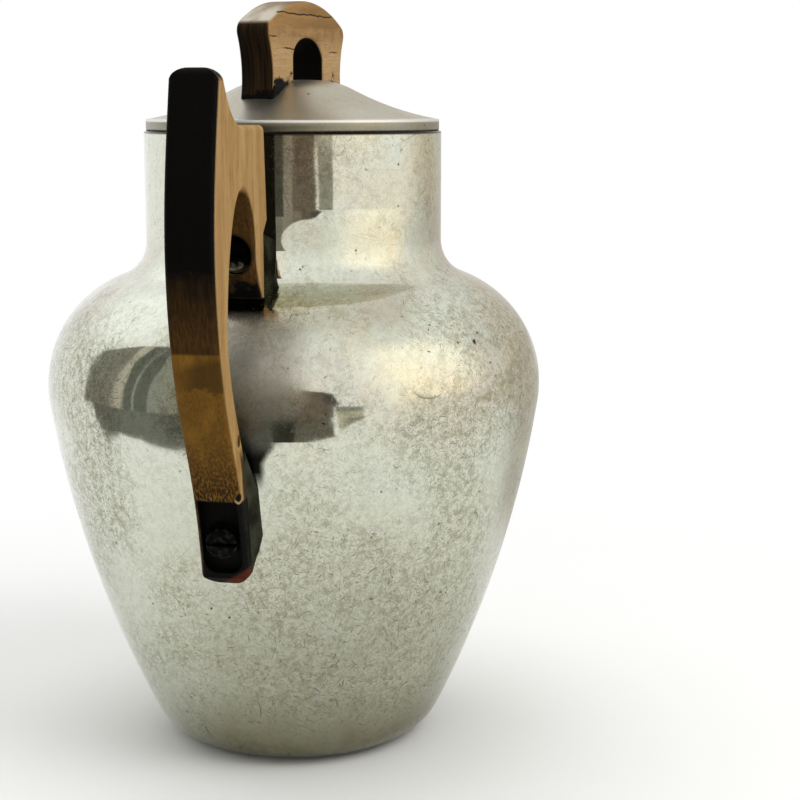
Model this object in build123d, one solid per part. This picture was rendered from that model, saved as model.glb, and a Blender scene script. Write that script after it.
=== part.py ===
from build123d import *
import os
from math import asin, cos, degrees, radians, sin, sqrt, tan

# A lidded coffee pot of spun aluminium with a wooden board handle and knob.
# Millimetres, +Z up. The origin is the middle of the base, the handle points along -X
# and the spout along +X.

# Pot shell: outer form from the belly outwards, and the sheet it is spun from
body_radius = 87.6
belly_height = 129.0
shoulder_radius = 40.8
belly_arc_radius = 386.0
belly_arc_start = 8.6
base_corner_radius = 19.5
neck_radius = 52.2
neck_fillet_radius = 13.0
neck_length = 38.1
wall = 2.5
rim_easing = 0.6

# Spout: a beak of bent sheet welded over a notch in the neck
spout_reach = 27.0
spout_half_angle = 26.0
spout_drop = 34.0
spout_wall = 1.8
spout_tip_radius = 4.0
spout_root_reach = 1.2
spout_toe = 7.0

# Clearance left where two fixed pieces meet on a curved face
seam = 0.1

# Upper handle lug
upper_lug_reach = 14.8
upper_lug_width = 15.0
upper_lug_top = 7.0
upper_lug_bottom = 14.0
upper_lug_slope = 4.5

# Lower handle lug: its seat for the handle leans outwards at the top
lower_lug_drop = 28.2
lower_lug_reach = 4.9
lower_seat_tilt = 9.7
lower_seat_length = 41.4
lower_lug_root_depth = 7.0
lower_lug_root_half_width = 10.7
lower_lug_root_top = 0.5
lower_lug_root_bottom = 8.2

# Rivets that hold the lugs, headed inside the pot
rivet_diameter = 3.6
rivet_head_diameter = 7.0
rivet_head_height = 1.6
rivet_grip = 3.6
rivet_gap = 0.3
upper_rivet_drop = 7.0
upper_rivet_spacing = 9.0
lower_rivet_spacing = 12.0

# Handle: a flat board on edge, with a horn at the top, a finger gap, a short leg and a tip
handle_thickness = 15.5
handle_edge_round = 1.8
handle_neck_gap = 10.6
handle_web_lean = 2.5
handle_web_rise = 2.7
handle_web_flat = 18.7
handle_web_depth = 19.3
handle_horn_rise = 19.6
handle_horn_round = 2.6
handle_horn_setback = 9.9
horn_inside_angle = 150.0
horn_outside_angle = 12.0
handle_leg_depth = 9.3
handle_leg_end = 2.6
handle_leg_rise = 2.6
handle_toe_rise = 0.6
handle_step = 4.0
grip_reach = 30.6
grip_depth = 13.4
grip_crest_drop = 33.6
grip_bend_setback = 5.8
grip_bend_drop = 72.7
grip_waist_drop = 58.0
finger_crown_share = 0.4
finger_root_lean = 27.0
leg_toe_lean = 29.0
handle_tip_depth = 5.0
handle_tip_overhang = 3.2
handle_tip_round = 3.0
handle_end_round = 6.0
handle_end_overcut = 0.4

# Handle screws, their washers and the recesses they sit in
screw_diameter = 5.0
screw_head_diameter = 10.5
screw_head_height = 3.0
screw_slot_width = 1.3
screw_slot_depth = 1.3
upper_thread_length = 9.0
lower_thread_length = 4.4
screw_clearance = 0.1
washer_diameter = 11.6
washer_thickness = 1.0
recess_width = 12.6
upper_screw_rise = 0.5
upper_screw_bed = 4.2
lower_screw_drop = 8.8
lower_screw_bed = 2.4
lower_recess_top = 6.0
lower_recess_bottom = 19.2
lower_recess_round = 4.5

# Lid: a low hollow cone with a thick edge, loose on the rim
lid_setback = 0.8
lid_edge_height = 4.0
lid_edge_slope = 9.5
lid_cone_slope = 27.8
lid_hollow_radius = 100.0
lid_crown_flat = 8.0
lid_wall = 2.0
lid_edge_width = 5.0
lid_edge_round = 0.7
lid_turn = -11.0

# Locating ring under the lid
ring_clearance = 0.8
ring_wall = 1.5
ring_depth = 11.0

# Knob: a short board on edge with an arched opening
knob_length = 63.4
knob_thickness = 12.5
knob_height = 44.3
knob_top_radius = 58.0
knob_corner_round = 4.0
knob_waist = 4.4
knob_foot_setback = 1.2
knob_edge_round = 1.3
knob_arch_width = 23.0
knob_arch_height = 31.6
knob_arch_rise = 7.4

# Knob screws and washers, driven from inside the lid
knob_screw_diameter = 4.0
knob_screw_head_diameter = 7.6
knob_screw_head_height = 2.2
knob_screw_bite = 9.0
knob_screw_inset = 2.2
knob_washer_diameter = 9.0
knob_washer_thickness = 0.8
knob_washer_gap = 0.5


# Form of the pot: centres of the arcs that make the outer profile, as (radius, height)
shoulder_centre = Vector(body_radius - shoulder_radius, belly_height)
belly_direction = Vector(cos(radians(belly_arc_start)), -sin(radians(belly_arc_start)))
belly_centre = shoulder_centre - belly_direction * (belly_arc_radius - shoulder_radius)
base_corner_span = belly_arc_radius - base_corner_radius
base_flat_radius = belly_centre.X + sqrt(base_corner_span**2 - (belly_centre.Y - base_corner_radius) ** 2)
base_corner_centre = Vector(base_flat_radius, base_corner_radius)
fillet_out = neck_radius + neck_fillet_radius - shoulder_centre.X
fillet_up = sqrt((shoulder_radius + neck_fillet_radius) ** 2 - fillet_out**2)
fillet_centre = Vector(neck_radius + neck_fillet_radius, belly_height + fillet_up)
neck_bottom = fillet_centre.Y
rim_height = neck_bottom + neck_length


def arc_about(centre, start, end):
    """Arc of under a half turn about a centre, from start to end."""
    to_start = start - centre
    to_end = end - centre
    middle = centre + (to_start + to_end).normalized() * to_start.length
    return ThreePointArc(start, middle, end)


def turned(*edges):
    """Solid turned about the Z axis from a closed outline of (radius, height) edges."""
    return revolve(Plane.XZ * make_face(edges), Axis.Z)


def pot_block(inset, top):
    """The pot's outer form shrunk by inset all over, filled, and as high as top."""
    floor_middle = Vector(0, inset)
    floor_edge = Vector(base_flat_radius, inset)
    corner_direction = (base_corner_centre - belly_centre).normalized()
    corner_end = belly_centre + corner_direction * (belly_arc_radius - inset)
    belly_end = shoulder_centre + belly_direction * (shoulder_radius - inset)
    shoulder_direction = (fillet_centre - shoulder_centre).normalized()
    shoulder_end = shoulder_centre + shoulder_direction * (shoulder_radius - inset)
    neck_start = Vector(neck_radius - inset, neck_bottom)
    neck_end = Vector(neck_radius - inset, top)
    top_middle = Vector(0, top)
    return turned(
        Line(floor_middle, floor_edge),
        arc_about(base_corner_centre, floor_edge, corner_end),
        arc_about(belly_centre, corner_end, belly_end),
        arc_about(shoulder_centre, belly_end, shoulder_end),
        arc_about(fillet_centre, shoulder_end, neck_start),
        Line(neck_start, neck_end),
        Line(neck_end, top_middle),
        Line(top_middle, floor_middle),
    )


def belly_radius_at(height):
    """Outer radius of the pot on its belly arc."""
    return belly_centre.X + sqrt(belly_arc_radius**2 - (height - belly_centre.Y) ** 2)


pot_outside = pot_block(-seam, rim_height + spout_drop)


# Spout
def spout_section(height, inset):
    """Beak outline at a height: a wedge that starts inside the neck, drawn in by inset."""
    share = (height - spout_foot) / spout_drop
    half_angle = radians(spout_half_angle)
    reach = spout_root_reach + (spout_reach - spout_root_reach) * share
    tip = neck_radius + reach - inset / sin(half_angle)
    back = neck_radius - spout_reach / 2
    half_width = (tip - back) * tan(half_angle)
    wedge = make_face(Polyline((back, half_width), (back, -half_width), (tip, 0), close=True))
    tip_round = seam + (spout_tip_radius - inset) * share
    return Pos(0, 0, height) * fillet(wedge.vertices().sort_by(Axis.X)[-1], tip_round)


spout_foot = rim_height - spout_drop
spout_block = loft([spout_section(spout_foot, 0), spout_section(rim_height, 0)], ruled=True)
passage_ends = (spout_foot + spout_toe, rim_height + spout_wall)
spout_passage = loft([spout_section(height, spout_wall) for height in passage_ends], ruled=True)
spout = spout_block - spout_passage - pot_outside


# Handle plane: the handle stands along -X, so a point (out, up) lies at X = -out, Z = up
def on_handle(out, up):
    """Point in the handle's plane, given by its distance from the pot's axis and its height."""
    return Vector(-out, up)


def board(thickness, *edges):
    """Flat board in the XZ plane, cut to a closed outline and centred on it."""
    return extrude(Plane.XZ * make_face(edges), thickness / 2, both=True)


def outward_plane(out, up, dip):
    """Plane at a point of the handle's plane, facing away from the pot and dipping by degrees."""
    facing = Vector(-cos(radians(dip)), 0, -sin(radians(dip)))
    return Plane(origin=(-out, 0, up), x_dir=(0, -1, 0), z_dir=facing)


def post(diameter, bottom, top):
    """Round post along a plane's normal, between two heights over the plane."""
    return Pos(0, 0, bottom) * extrude(Circle(diameter / 2), top - bottom)


# Rivets: headed inside the pot, through its wall and into the lug
rivet_seat = -wall - rivet_gap
rivet_head = post(rivet_head_diameter, rivet_seat - rivet_head_height, rivet_seat)
rivet_head = fillet(rivet_head.edges().group_by(Axis.Z)[0], rivet_head_height / 2)
rivet = rivet_head + post(rivet_diameter, rivet_seat, rivet_grip)
rivet_bore = post(rivet_diameter + 2 * seam, 2 * rivet_seat, rivet_grip + seam)


def rivet_pair(plane, radius, spacing):
    """Places of two rivets, turned to either side of the handle's plane about the pot's axis."""
    turn = degrees(asin(spacing / 2 / radius))
    return [Rot(0, 0, side * turn) * plane.location for side in (-1, 1)]


# Upper lug: a block on the neck, feathered out on the shoulder
upper_seat = neck_radius + upper_lug_reach
upper_seat_top = neck_bottom + upper_lug_top
upper_seat_bottom = neck_bottom - upper_lug_bottom
upper_root = neck_radius - upper_lug_slope
upper_lug_outline = Polyline(
    on_handle(upper_seat, upper_seat_top),
    on_handle(upper_seat, upper_seat_bottom),
    on_handle(upper_root, upper_seat_bottom),
    on_handle(upper_root, upper_seat_top - upper_lug_slope),
    close=True,
)
upper_screw_place = outward_plane(upper_seat, neck_bottom + upper_screw_rise, 0)
upper_rivet_rise = degrees(asin(upper_rivet_drop / neck_fillet_radius))
upper_rivet_out = fillet_centre.X - neck_fillet_radius * cos(radians(upper_rivet_rise))
upper_rivet_plane = outward_plane(upper_rivet_out, neck_bottom - upper_rivet_drop, -upper_rivet_rise)
upper_rivet_places = rivet_pair(upper_rivet_plane, upper_rivet_out, upper_rivet_spacing)
upper_bore = post(screw_diameter + 2 * screw_clearance, -upper_thread_length - screw_clearance, 0)
upper_lug = board(upper_lug_width, upper_lug_outline) - pot_outside
upper_lug -= upper_screw_place * upper_bore
upper_lug -= [place * rivet_bore for place in upper_rivet_places]

# Lower lug: drawn out from the handle's leaning seat to a wider root on the belly
lower_seat_height = belly_height - lower_lug_drop
lower_seat_out = belly_radius_at(lower_seat_height) + lower_lug_reach
lower_seat_place = outward_plane(lower_seat_out, lower_seat_height, lower_seat_tilt)
lower_screw_place = lower_seat_place * Pos(0, -lower_screw_drop, 0)
lower_root_length = lower_lug_root_bottom - lower_lug_root_top
lower_root_middle = (lower_lug_root_bottom + lower_lug_root_top) / 2
lower_seat_face = Rectangle(handle_thickness, lower_seat_length)
lower_root_face = Rectangle(2 * lower_lug_root_half_width, lower_root_length)
lower_root_place = Pos(0, -lower_root_middle, -lower_lug_root_depth)
lower_rivet_height = lower_seat_height - lower_root_middle / 2
lower_rivet_out = belly_radius_at(lower_rivet_height)
lower_rivet_dip = degrees(asin((belly_centre.Y - lower_rivet_height) / belly_arc_radius))
lower_rivet_plane = outward_plane(lower_rivet_out, lower_rivet_height, lower_rivet_dip)
lower_rivet_places = rivet_pair(lower_rivet_plane, lower_rivet_out, lower_rivet_spacing)
lower_bore = post(screw_diameter + 2 * screw_clearance, -lower_thread_length - screw_clearance, 0)
lower_lug = lower_seat_place * loft([lower_root_place * lower_root_face, lower_seat_face], ruled=True)
lower_lug -= pot_outside
lower_lug -= lower_screw_place * lower_bore
lower_lug -= [place * rivet_bore for place in lower_rivet_places]

# Pot shell: rim eased, notched under the spout and drilled for the rivets
pot_shell = pot_block(0, rim_height) - pot_block(wall, rim_height + wall)
pot_shell = fillet(pot_shell.edges().group_by(Axis.Z)[-1], rim_easing)
pot_shell -= spout_passage
pot_shell -= [place * rivet_bore for place in upper_rivet_places + lower_rivet_places]


# Handle outline, from the inner top corner out over the horn, down the grip and back up
def on_seat(along, out):
    """Point in the handle's plane, by its place along the lower seat and its distance from it."""
    tilt = radians(lower_seat_tilt)
    place_out = lower_seat_out + along * sin(tilt) + out * cos(tilt)
    place_up = lower_seat_height + along * cos(tilt) - out * sin(tilt)
    return on_handle(place_out, place_up)


inner_edge = neck_radius + handle_neck_gap
web_top = rim_height + handle_web_rise
grip_crest = body_radius + grip_reach
grip_inside = grip_crest - grip_depth
leg_front = upper_seat + handle_leg_depth
finger_crown = leg_front + (grip_inside - leg_front) * finger_crown_share
seat_end = lower_seat_length / 2

inner_top = on_handle(inner_edge + handle_web_lean, web_top)
web_end = on_handle(inner_edge + handle_web_lean + handle_web_flat, web_top)
horn_top = rim_height + handle_horn_rise
horn_centre = on_handle(grip_crest - handle_horn_setback, horn_top - handle_horn_round)
horn_in = on_handle(cos(radians(horn_inside_angle)), sin(radians(horn_inside_angle)))
horn_out = on_handle(cos(radians(horn_outside_angle)), sin(radians(horn_outside_angle)))
horn_inside = horn_centre + horn_in * handle_horn_round
horn_outside = horn_centre + horn_out * handle_horn_round
horn_rising = Vector(-horn_in.Y, horn_in.X)
horn_falling = Vector(-horn_out.Y, horn_out.X)
grip_outside = on_handle(grip_crest, rim_height - grip_crest_drop)
grip_bend = on_handle(grip_crest - grip_bend_setback, rim_height - grip_bend_drop)
tip_outside = on_seat(handle_tip_round - seat_end - handle_tip_overhang, handle_tip_depth)
tip_end = on_seat(-seat_end - handle_tip_overhang, handle_tip_depth - handle_tip_round)
seat_bottom = on_seat(-seat_end - handle_tip_overhang, 0)
seat_top = on_seat(seat_end, 0)
finger_side = on_handle(grip_inside, rim_height - grip_waist_drop)
finger_top = on_handle(finger_crown, web_top - handle_web_depth)
leg_face = on_handle(leg_front, neck_bottom + handle_leg_rise)
leg_toe = on_handle(upper_seat + handle_leg_end, upper_seat_bottom + handle_toe_rise)
leg_foot = on_handle(upper_seat, upper_seat_bottom + handle_toe_rise)
leg_seat_top = on_handle(upper_seat, upper_seat_top)
leg_step = on_handle(inner_edge, upper_seat_top + handle_step)
level_out = on_handle(1, 0)
level_in = on_handle(-1, 0)
straight_up = on_handle(0, 1)
straight_down = on_handle(0, -1)
tip_direction = seat_bottom - seat_top
finger_rising = on_handle(sin(radians(finger_root_lean)), cos(radians(finger_root_lean)))
leg_falling = on_handle(-sin(radians(leg_toe_lean)), -cos(radians(leg_toe_lean)))
finger_directions = [finger_rising, straight_up, level_in, straight_down, leg_falling]

handle = board(
    handle_thickness,
    Line(inner_top, web_end),
    Spline(web_end, horn_inside, tangents=[level_out, horn_rising]),
    arc_about(horn_centre, horn_inside, horn_outside),
    Spline(horn_outside, grip_outside, grip_bend, tip_outside, tangents=[horn_falling, tip_direction]),
    Line(tip_outside, tip_end),
    Line(tip_end, seat_bottom),
    Line(seat_bottom, seat_top),
    Spline(seat_top, finger_side, finger_top, leg_face, leg_toe, tangents=finger_directions),
    Line(leg_toe, leg_foot),
    Line(leg_foot, leg_seat_top),
    Line(leg_seat_top, leg_step),
    Line(leg_step, inner_top),
)
handle_height = horn_top - tip_end.Y
handle_middle = horn_top - handle_height / 2
handle_end_width = handle_thickness + 2 * handle_end_overcut
handle_end_view = RectangleRounded(handle_end_width, handle_height, handle_end_round)
handle_curved_edges = handle.faces().filter_by(Axis.Y).edges().filter_by(GeomType.BSPLINE)
handle = fillet(handle_curved_edges, handle_edge_round)
handle &= extrude(Plane.YZ * Pos(0, handle_middle) * handle_end_view, -grip_crest - handle_thickness)

# Recesses in the handle for the two screws
bed_bore = screw_diameter + 2 * screw_clearance
upper_recess = post(recess_width, upper_screw_bed, (upper_screw_bed + grip_inside - upper_seat) / 2)
upper_recess += post(bed_bore, -screw_clearance, upper_screw_bed + screw_clearance)
handle -= upper_screw_place * upper_recess
lower_recess_middle = (lower_recess_top - lower_recess_bottom) / 2
lower_recess_face = Rectangle(recess_width, lower_recess_bottom + lower_recess_top)
lower_recess_face = fillet(lower_recess_face.vertices().group_by(Axis.Y)[0], lower_recess_round)
lower_recess = Pos(0, lower_recess_middle, lower_screw_bed) * extrude(lower_recess_face, grip_depth)
handle -= lower_seat_place * lower_recess
handle -= lower_screw_place * post(bed_bore, -screw_clearance, lower_screw_bed + screw_clearance)


# Handle screws and washers
def slotted_screw(bed, thread_length):
    """Round-headed screw with a level slot, standing on a washer at the height bed."""
    seat = bed + washer_thickness
    head = post(screw_head_diameter, seat, seat + screw_head_height)
    head = fillet(head.edges().group_by(Axis.Z)[-1], screw_head_height / 2)
    slot = Box(screw_head_diameter, screw_slot_width, 2 * screw_slot_depth)
    head -= Pos(0, 0, seat + screw_head_height) * slot
    return head + post(screw_diameter, -thread_length, seat)


def screw_washer(bed):
    """Flat washer at the bottom of a screw's recess."""
    hole = post(bed_bore, 0, bed + 2 * washer_thickness)
    return post(washer_diameter, bed, bed + washer_thickness) - hole


upper_screw = upper_screw_place * slotted_screw(upper_screw_bed, upper_thread_length)
upper_washer = upper_screw_place * screw_washer(upper_screw_bed)
lower_screw = lower_screw_place * slotted_screw(lower_screw_bed, lower_thread_length)
lower_washer = lower_screw_place * screw_washer(lower_screw_bed)

# Lid: heights are over the rim
lid_radius = neck_radius - lid_setback
edge_slope = radians(lid_edge_slope)
cone_slope = radians(lid_cone_slope)


def slope_normal(slope):
    """Direction square to the lid's top where it rises towards the middle at a slope."""
    return Vector(sin(slope), cos(slope))


lid_edge = Vector(lid_radius, rim_height + lid_edge_height)
hollow_centre = lid_edge + slope_normal(edge_slope) * lid_hollow_radius
crown_start = hollow_centre - slope_normal(cone_slope) * lid_hollow_radius
crown_radius = (crown_start.X - lid_crown_flat) / sin(cone_slope)
crown_centre = crown_start - slope_normal(cone_slope) * crown_radius


def lid_block(inset, radius, bottom):
    """What lies under the lid's top, lowered by inset, out to a radius and down to a height."""
    crown_top = crown_centre.Y + crown_radius - inset
    flat_end = Vector(crown_centre.X, crown_top)
    crown_end = crown_centre + slope_normal(cone_slope) * (crown_radius - inset)
    edge_rise = sqrt((lid_hollow_radius + inset) ** 2 - (hollow_centre.X - radius) ** 2)
    edge_top = Vector(radius, hollow_centre.Y - edge_rise)
    axis_top = Vector(0, crown_top)
    axis_bottom = Vector(0, bottom)
    edge_bottom = Vector(radius, bottom)
    return turned(
        Line(axis_top, flat_end),
        arc_about(crown_centre, flat_end, crown_end),
        arc_about(hollow_centre, crown_end, edge_top),
        Line(edge_top, edge_bottom),
        Line(edge_bottom, axis_bottom),
        Line(axis_bottom, axis_top),
    )


lid_shell = lid_block(0, lid_radius, rim_height)
lid_rims = lid_shell.edges().filter_by(GeomType.CIRCLE).sort_by(lambda edge: edge.radius)[-2:]
lid_shell = fillet(lid_rims, lid_edge_round)
lid_shell -= lid_block(lid_wall, lid_radius - lid_edge_width, rim_height - lid_wall)

# Locating ring: hangs from the lid's edge inside the neck
ring_radius = neck_radius - wall - ring_clearance
ring_bottom = rim_height - ring_depth
ring_section = Circle(ring_radius) - Circle(ring_radius - ring_wall)
lid_ring = Pos(0, 0, ring_bottom) * extrude(ring_section, ring_depth)

# Knob: cut from the outline, pierced by its arch, then scribed to the lid
knob_half = knob_length / 2
knob_drop = knob_top_radius - sqrt(knob_top_radius**2 - knob_half**2)
knob_crest = Vector(0, rim_height + knob_height)
knob_right = Vector(knob_half, knob_crest.Y - knob_drop)
knob_left = Vector(-knob_half, knob_right.Y)
knob_foot = rim_height + lid_edge_height
foot_right = Vector(knob_half - knob_foot_setback, knob_foot)
foot_left = Vector(knob_foot_setback - knob_half, knob_foot)
waist_height = (knob_right.Y + knob_foot) / 2
waist_right = Vector(knob_half - knob_waist, waist_height)
waist_left = Vector(knob_waist - knob_half, waist_height)
knob_face = make_face([
    ThreePointArc(knob_left, knob_crest, knob_right),
    ThreePointArc(knob_right, waist_right, foot_right),
    Line(foot_right, foot_left),
    ThreePointArc(foot_left, waist_left, knob_left),
])
knob_face = fillet(knob_face.vertices().group_by(Axis.Y)[-1], knob_corner_round)
arch_spring = rim_height + knob_arch_height - knob_arch_rise
arch_side = arch_spring - knob_foot
knob_face -= Pos(0, knob_foot + arch_side / 2) * Rectangle(knob_arch_width, arch_side)
knob_face -= Pos(0, arch_spring) * Ellipse(knob_arch_width / 2, knob_arch_rise)
knob = extrude(Plane.XZ * knob_face, knob_thickness / 2, both=True)
knob = fillet(knob.faces().filter_by(Axis.Y).edges(), knob_edge_round)
knob -= lid_block(-seam, lid_radius, rim_height)

# Knob screws: square to the lid under the middle of each foot
knob_screw_out = (knob_length + knob_arch_width) / 4 - knob_screw_inset
knob_screw_slope = asin((knob_screw_out - lid_crown_flat) / crown_radius)
knob_screw_up = crown_centre.Y + crown_radius * cos(knob_screw_slope)
knob_screw_facing = Vector(sin(knob_screw_slope), 0, cos(knob_screw_slope))
knob_screw_seat = Vector(knob_screw_out, 0, knob_screw_up)
knob_screw_plane = Plane(origin=knob_screw_seat, x_dir=(0, 1, 0), z_dir=knob_screw_facing)
knob_screw_places = [Rot(0, 0, turn) * knob_screw_plane.location for turn in (0, 180)]
knob_washer_top = -lid_wall - knob_washer_gap
knob_washer_bottom = knob_washer_top - knob_washer_thickness
knob_bore_diameter = knob_screw_diameter + 2 * screw_clearance
knob_bore = post(knob_bore_diameter, 2 * knob_washer_bottom, knob_screw_bite + screw_clearance)
knob_head_bottom = knob_washer_bottom - knob_screw_head_height
knob_head = post(knob_screw_head_diameter, knob_head_bottom, knob_washer_bottom)
knob_head = fillet(knob_head.edges().group_by(Axis.Z)[0], knob_screw_head_height / 2)
knob_slot = Box(knob_screw_head_diameter, screw_slot_width, knob_screw_head_height)
knob_head -= Pos(0, 0, knob_head_bottom) * knob_slot
knob_screw = knob_head + post(knob_screw_diameter, knob_washer_bottom, knob_screw_bite)
knob_washer = post(knob_washer_diameter, knob_washer_bottom, knob_washer_top) - knob_bore
lid_shell -= [place * knob_bore for place in knob_screw_places]
knob -= [place * knob_bore for place in knob_screw_places]


def group(solid, places):
    """Like solids in one node, one at each place."""
    return Part() + [place * solid for place in places]


def turned_lid(shape):
    """A piece of the lid, turned about the pot's axis as the loose lid sits."""
    return Rot(0, 0, lid_turn) * shape


pieces = {
    "pot_shell": pot_shell,
    "spout": spout,
    "upper_handle_lug": upper_lug,
    "upper_lug_rivets": group(rivet, upper_rivet_places),
    "lower_handle_lug": lower_lug,
    "lower_lug_rivets": group(rivet, lower_rivet_places),
    "handle": handle,
    "upper_handle_screw": upper_screw,
    "upper_screw_washer": upper_washer,
    "lower_handle_screw": lower_screw,
    "lower_screw_washer": lower_washer,
    "lid_shell": turned_lid(lid_shell),
    "lid_locating_ring": turned_lid(lid_ring),
    "lid_knob": turned_lid(knob),
    "knob_screws": turned_lid(group(knob_screw, knob_screw_places)),
    "knob_screw_washers": turned_lid(group(knob_washer, knob_screw_places)),
}
os.makedirs("parts", exist_ok=True)
for name, piece in pieces.items():
    export_step(piece, f"parts/{name}.step")
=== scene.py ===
import math

import bpy
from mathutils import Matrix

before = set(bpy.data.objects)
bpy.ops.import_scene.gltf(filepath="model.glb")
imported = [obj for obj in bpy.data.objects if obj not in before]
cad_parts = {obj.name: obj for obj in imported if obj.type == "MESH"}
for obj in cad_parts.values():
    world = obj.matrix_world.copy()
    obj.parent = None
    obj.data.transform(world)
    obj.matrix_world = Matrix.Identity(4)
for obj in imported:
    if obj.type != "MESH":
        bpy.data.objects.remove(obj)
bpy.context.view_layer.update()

# Pot shell: one sheet of aluminium spun over a former into base, belly, shoulder and neck, then buffed by hand.
# It still mirrors the room sharply. Decades of scouring have covered it with hairline scratches, pits and
# creamy stains. Towards the base it is greyed: soot darkens its foot, and painted shade above that stands
# for the floor's darker reflection.
HAIRLINE_SPACINGS = (0.0017, 0.0021, 0.0026, 0.0034, 0.0048, 0.0075, 0.0125)
HAIRLINE_WIDTH = 0.00022
HAIRLINE_BOW = 0.12
HAIRLINE_SHIFT = (0.31, 0.17, 0.23)
HAIRLINE_FADE = 2.2
LONG_SCRATCH_SPACING = 0.040
ACROSS_THE_CELL = 1.0
# Pits: spacing, width and length
PITS = (
    (0.0034, 0.00070, 0.0012), (0.0052, 0.00070, 0.0012), (0.0080, 0.00070, 0.0012), (0.0110, 0.00125, 0.0022))
PIT_EDGE_SIZE = 0.0007
PIT_EDGE_REACH = 0.0009
PIT_CROWD_SIZE = 0.020
WEAR_SIZE = 0.034
STAIN_SIZE = 0.036
MOTTLE_SIZE = 0.0010
CLOUD_SIZE = 0.0028
DENT_SIZE = 0.030
DENT_DEPTH = 0.00030
NECK_FLARE = 0.0042
PITTED_SHOULDER = (0.126, 0.142)
HANDLE_MIDDLE = -0.005
GAP_MIDDLE = -0.0065
TIDE_WAVER = 0.012
SEAM = 0.2172
ROLL_BULGE = 120.0
ROLL_HALF = 0.0022
BASE_FLAT = 0.0015
LINING_ROUGHNESS = 0.50
LINING_METAL = 0.30
SMOOTH = "SMOOTHSTEP"

# Places on the metal, as ramps: what they go by, where they start and end, and their level at either end.
# The first group adds to the wear: shoulder, neck, right flank, left of the handle, bright belt, lower body
WEAR_PLACES = (
    (("Z", 0.110, 0.134, -0.03, 0.07),),
    (("Z", 0.160, 0.176, 0.0, -0.17),),
    (("Y", -0.045, -0.080, 0.0, 0.08),),
    (("Y", 0.010, 0.030, 0.0, -0.16),),
    (("Y", -0.038, -0.052, 0.0, -0.13), ("Z", 0.124, 0.132, 0.0, 1.0), ("Z", 0.144, 0.152, 1.0, 0.0)),
    (("Z", 0.092, 0.070, 0.0, 0.13),))
FLANK_LEAN = (("Z", 0.105, 0.150, 0.007, -0.012),)
LEFT_FLANK = (
    ("flank", 0.031, 0.052, 0.0, 0.34), ("X", 0.020, -0.020, 0.0, 1.0), ("Z", 0.135, 0.160, 1.0, 0.45),
    ("Z", 0.072, 0.098, 0.2, 1.0))
STAINED_SHOULDER = (("Z", 0.112, 0.137, 0.12, 1.0),)
FEWER_STAINS = (("Y", 0.012, 0.034, 1.0, 0.15),)
LOW_PAINTED_SHADE = (("Z", 0.140, 0.045, 0.0, 0.42),)
FOOT_SOOT_AND_SHADE = (("Z", 0.034, 0.0, 0.0, 0.72),)
LESS_SOOT_AND_SHADE_ON_LEFT = (("Y", 0.008, 0.042, 1.0, 0.16),)
ROOT_PAINTED_SHADE = (
    ("Z", 0.150, 0.160, 0.0, 0.36, SMOOTH), ("Z", 0.164, 0.173, 1.0, 0.0, SMOOTH),
    ("Y", 0.004, -0.014, 0.0, 1.0, SMOOTH), ("Y", -0.046, -0.058, 1.0, 0.0, SMOOTH))
LOWER_NECK_PAINTED_SHADE = (
    ("Z", 0.176, 0.182, 0.0, 0.24, SMOOTH), ("Z", 0.186, 0.194, 1.0, 0.0, SMOOTH),
    ("Y", 0.004, -0.014, 0.0, 1.0, SMOOTH))
SEAM_SHADE = (("Z", SEAM - 0.0006, SEAM, 0.0, 1.0), ("Z", SEAM + 0.0005, SEAM + 0.0009, 1.0, 0.0))
ROLL_DARK_REFLECTION = (("roll", 0.0010, 0.0014, 0.44, 0.0),)
ROLL_HIGHLIGHT = (("roll", 0.0010, 0.0014, 0.0, 1.0), ("roll", 0.0019, 0.0024, 1.0, 0.0))
HANDLE_NARROWS = (("Z", 0.120, 0.134, 0.011, 0.0),)
HANDLE_FILM = (("Z", 0.128, 0.142, 0.0, -0.4),)
BEHIND_HANDLE = (
    ("beside", 0.011, 0.024, 1.0, 0.0, SMOOTH), ("X", -0.030, -0.055, 0.0, 1.0),
    ("Z", 0.119, 0.133, 0.0, 1.0, SMOOTH), ("Z", 0.157, 0.162, 1.0, 0.0))
GAP_SPREADS = (("Z", 0.116, 0.122, 0.0, -0.0035),)
GAP_SOOT_AND_PAINTED_SHADOW = (
    ("gap", 0.0038, 0.0066, 1.0, 0.0, SMOOTH), ("X", -0.030, -0.055, 0.0, 1.0),
    ("Z", 0.106, 0.113, 0.0, 1.0), ("Z", 0.117, 0.133, 1.0, 0.0, SMOOTH))
COFFEE_TIDE = (("tide", 0.150, 0.170, 0.75, 0.10),)
NECK_FLARES = (("Z", 0.1935, 0.1720, 0.0, 1.0, SMOOTH),)


def linear(code):
    """Linear colour from an sRGB hex value."""
    parts = [int(code[at:at + 2], 16) / 255 for at in (1, 3, 5)]
    return tuple(c / 12.92 if c <= 0.04045 else ((c + 0.055) / 1.055) ** 2.4 for c in parts) + (1.0,)


def add(tree, kind, inputs=None, **settings):
    """Adds a node with its settings, sets or links its inputs, and gives its outputs."""
    made = tree.nodes.new("ShaderNode" + kind)
    for name, value in settings.items():
        setattr(made, name, value)
    for socket, value in (inputs or {}).items():
        if isinstance(value, bpy.types.NodeSocket):
            tree.links.new(value, made.inputs[socket])
        else:
            made.inputs[socket].default_value = value
    return made.outputs


def new_material(name):
    """An empty material with its tree and its coordinates in the part's own frame, in metres."""
    made = bpy.data.materials.new(name)
    made.use_nodes = True
    made.node_tree.nodes.clear()
    return made, made.node_tree, add(made.node_tree, "TexCoord")


def dress(node, material):
    """Gives a node of the frame its finish."""
    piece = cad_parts[node]
    piece.data.materials.clear()
    piece.data.materials.append(material)


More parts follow.
